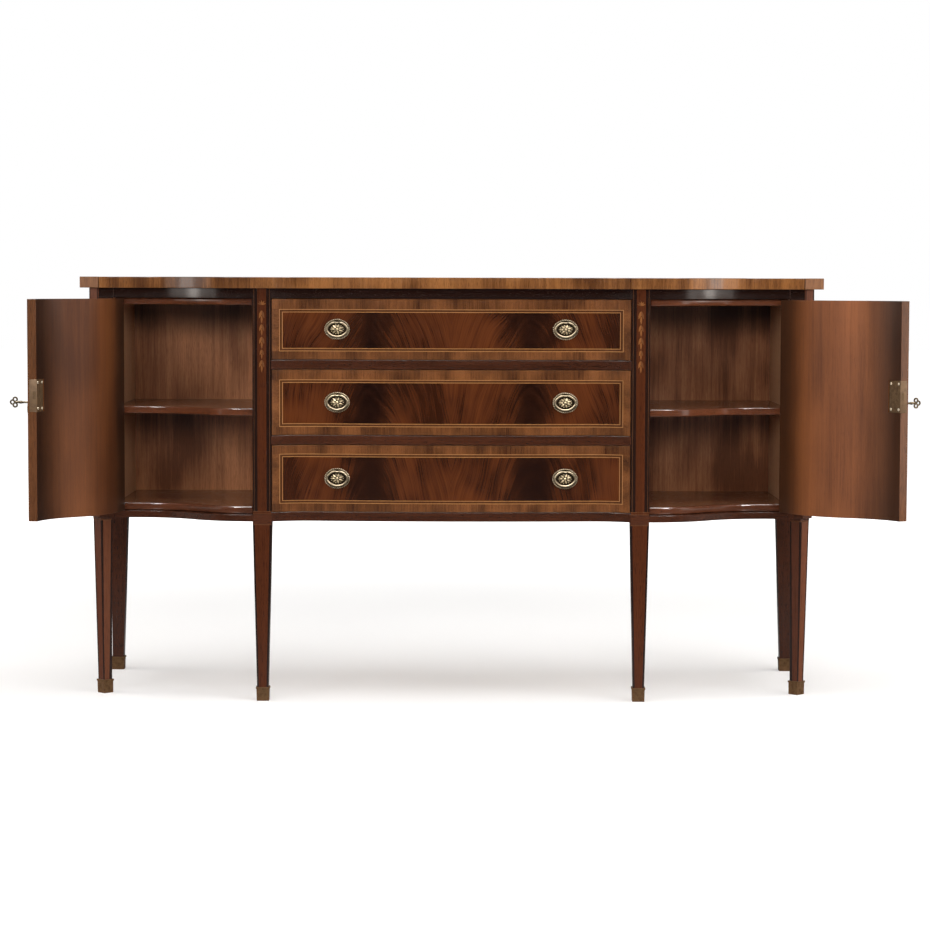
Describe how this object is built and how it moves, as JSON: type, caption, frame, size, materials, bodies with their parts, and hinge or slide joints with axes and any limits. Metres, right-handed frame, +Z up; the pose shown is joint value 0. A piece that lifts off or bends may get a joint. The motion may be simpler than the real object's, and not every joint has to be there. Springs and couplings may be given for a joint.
{
  "type": "breakfront sideboard",
  "caption": "Serpentine breakfront sideboard on tapered legs, with hinged ogee cupboard doors, sliding central drawers, oval ring pulls and working door locks.",
  "frame": {"origin": "on the floor under the middle of the case, midway between the end panels and midway between the inner posts' front and the rear posts' back", "axes": "+X to the right seen from the front, +Y to the back, +Z up"},
  "size_m": [1.9791, 0.7437, 0.948],
  "materials": {
    "top": "polished mahogany veneer with a crossbanded edge",
    "case": "polished dark mahogany with pale inlay",
    "rails": "polished dark mahogany",
    "interior": "satin brown mahogany",
    "back": "stained board",
    "door": "crossbanded flame mahogany outside, plain veneer inside",
    "drawer_veneer": "crossbanded flame mahogany with double stringing",
    "drawer_lining": "waxed pale hardwood",
    "sabot_brass": "aged cast brass",
    "pull_brass": "antique pressed brass",
    "lock_brass": "aged brass",
    "key_brass": "dark antique brass"
  },
  "bodies": {
    "case": {"top_panel": "top", "inner_post_left": "case", "inner_post_right": "case", "corner_post_left": "case", "corner_post_right": "case", "rear_post_left": "case", "rear_post_right": "case", "end_panel_left": "case", "end_panel_right": "case", "top_rail_left": "rails", "top_rail_right": "rails", "top_rail_centre": "rails", "bottom_rail_left": "rails", "bottom_rail_right": "rails", "bottom_rail_centre": "rails", "drawer_rail_upper": "rails", "drawer_rail_lower": "rails", "side_lining_left": "interior", "side_lining_right": "interior", "divider_left": "interior", "divider_right": "interior", "cupboard_floor_left": "interior", "cupboard_floor_right": "interior", "cupboard_ceiling_left": "interior", "cupboard_ceiling_right": "interior", "shelf_left": "interior", "shelf_right": "interior", "back_panel": "back", "sabots": "sabot_brass", "drawer_runners": "drawer_lining", "strike_plates": "lock_brass", "case_hinges": "lock_brass"},
    "left_door": {"door_left": "door", "door_hinges_left": "lock_brass", "lock_case_left": "lock_brass", "escutcheon_left": "pull_brass"},
    "left_bolt": {"lock_bolt_left": "lock_brass"},
    "left_key": {"key_left": "key_brass"},
    "right_door": {"door_right": "door", "door_hinges_right": "lock_brass", "lock_case_right": "lock_brass", "escutcheon_right": "pull_brass"},
    "right_bolt": {"lock_bolt_right": "lock_brass"},
    "right_key": {"key_right": "key_brass"},
    "top_drawer": {"drawer_front_top": "drawer_veneer", "drawer_box_top": "drawer_lining", "pull_plates_top": "pull_brass"},
    "top_left_bail": {"bail_top_left": "pull_brass"},
    "top_right_bail": {"bail_top_right": "pull_brass"},
    "middle_drawer": {"drawer_front_middle": "drawer_veneer", "drawer_box_middle": "drawer_lining", "pull_plates_middle": "pull_brass"},
    "middle_left_bail": {"bail_middle_left": "pull_brass"},
    "middle_right_bail": {"bail_middle_right": "pull_brass"},
    "bottom_drawer": {"drawer_front_bottom": "drawer_veneer", "drawer_box_bottom": "drawer_lining", "pull_plates_bottom": "pull_brass"},
    "bottom_left_bail": {"bail_bottom_left": "pull_brass"},
    "bottom_right_bail": {"bail_bottom_right": "pull_brass"}
  },
  "joints": [
    {"name": "left_door_swing", "type": "hinge", "parent": "case", "child": "left_door", "pos_m": [-0.76175, -0.1683, 0.66], "axis": [0, 0, -1], "range_deg": [-99.4, 30.6]},
    {"name": "left_key_turn", "type": "hinge", "parent": "left_door", "child": "left_key", "pos_m": [-0.90656, -0.44866, 0.677], "axis": [0.9866, -0.1633, 0], "range_deg": [0, 180]},
    {"name": "left_bolt_throw", "type": "slide", "parent": "left_door", "child": "left_bolt", "axis": [-0.1633, -0.9866, 0], "range_m": [0, 0.0125]},
    {"name": "right_door_swing", "type": "hinge", "parent": "case", "child": "right_door", "pos_m": [0.76175, -0.1683, 0.66], "axis": [0, 0, 1], "range_deg": [-117, 13]},
    {"name": "right_key_turn", "type": "hinge", "parent": "right_door", "child": "right_key", "pos_m": [0.98456, -0.39175, 0.677], "axis": [0.891, 0.454, 0], "range_deg": [0, 180]},
    {"name": "right_bolt_throw", "type": "slide", "parent": "right_door", "child": "right_bolt", "axis": [0.454, -0.891, 0], "range_m": [0, 0.0125]},
    {"name": "top_drawer_slide", "type": "slide", "parent": "case", "child": "top_drawer", "axis": [0, -1, 0], "range_m": [0, 0.36]},
    {"name": "top_left_bail_lift", "type": "hinge", "parent": "top_drawer", "child": "top_left_bail", "pos_m": [-0.2543, -0.25298, 0.84732], "axis": [-0.9974, 0.0724, 0], "range_deg": [0, 95]},
    {"name": "top_right_bail_lift", "type": "hinge", "parent": "top_drawer", "child": "top_right_bail", "pos_m": [0.2543, -0.25298, 0.84732], "axis": [-0.9974, -0.0724, 0], "range_deg": [0, 95]},
    {"name": "middle_drawer_slide", "type": "slide", "parent": "case", "child": "middle_drawer", "axis": [0, -1, 0], "range_m": [0, 0.36]},
    {"name": "middle_left_bail_lift", "type": "hinge", "parent": "middle_drawer", "child": "middle_left_bail", "pos_m": [-0.2543, -0.25298, 0.68466], "axis": [-0.9974, 0.0724, 0], "range_deg": [0, 95]},
    {"name": "middle_right_bail_lift", "type": "hinge", "parent": "middle_drawer", "child": "middle_right_bail", "pos_m": [0.2543, -0.25298, 0.68466], "axis": [-0.9974, -0.0724, 0], "range_deg": [0, 95]},
    {"name": "bottom_drawer_slide", "type": "slide", "parent": "case", "child": "bottom_drawer", "axis": [0, -1, 0], "range_m": [0, 0.36]},
    {"name": "bottom_left_bail_lift", "type": "hinge", "parent": "bottom_drawer", "child": "bottom_left_bail", "pos_m": [-0.2543, -0.25298, 0.51474], "axis": [-0.9974, 0.0724, 0], "range_deg": [0, 95]},
    {"name": "bottom_right_bail_lift", "type": "hinge", "parent": "bottom_drawer", "child": "bottom_right_bail", "pos_m": [0.2543, -0.25298, 0.51474], "axis": [-0.9974, -0.0724, 0], "range_deg": [0, 95]}
  ],
  "couplings": [
    {"joint": "left_bolt_throw", "follows": "left_key_turn", "m_per_rad": 0.0028648},
    {"joint": "right_bolt_throw", "follows": "right_key_turn", "m_per_rad": 0.0028648}
  ]
}
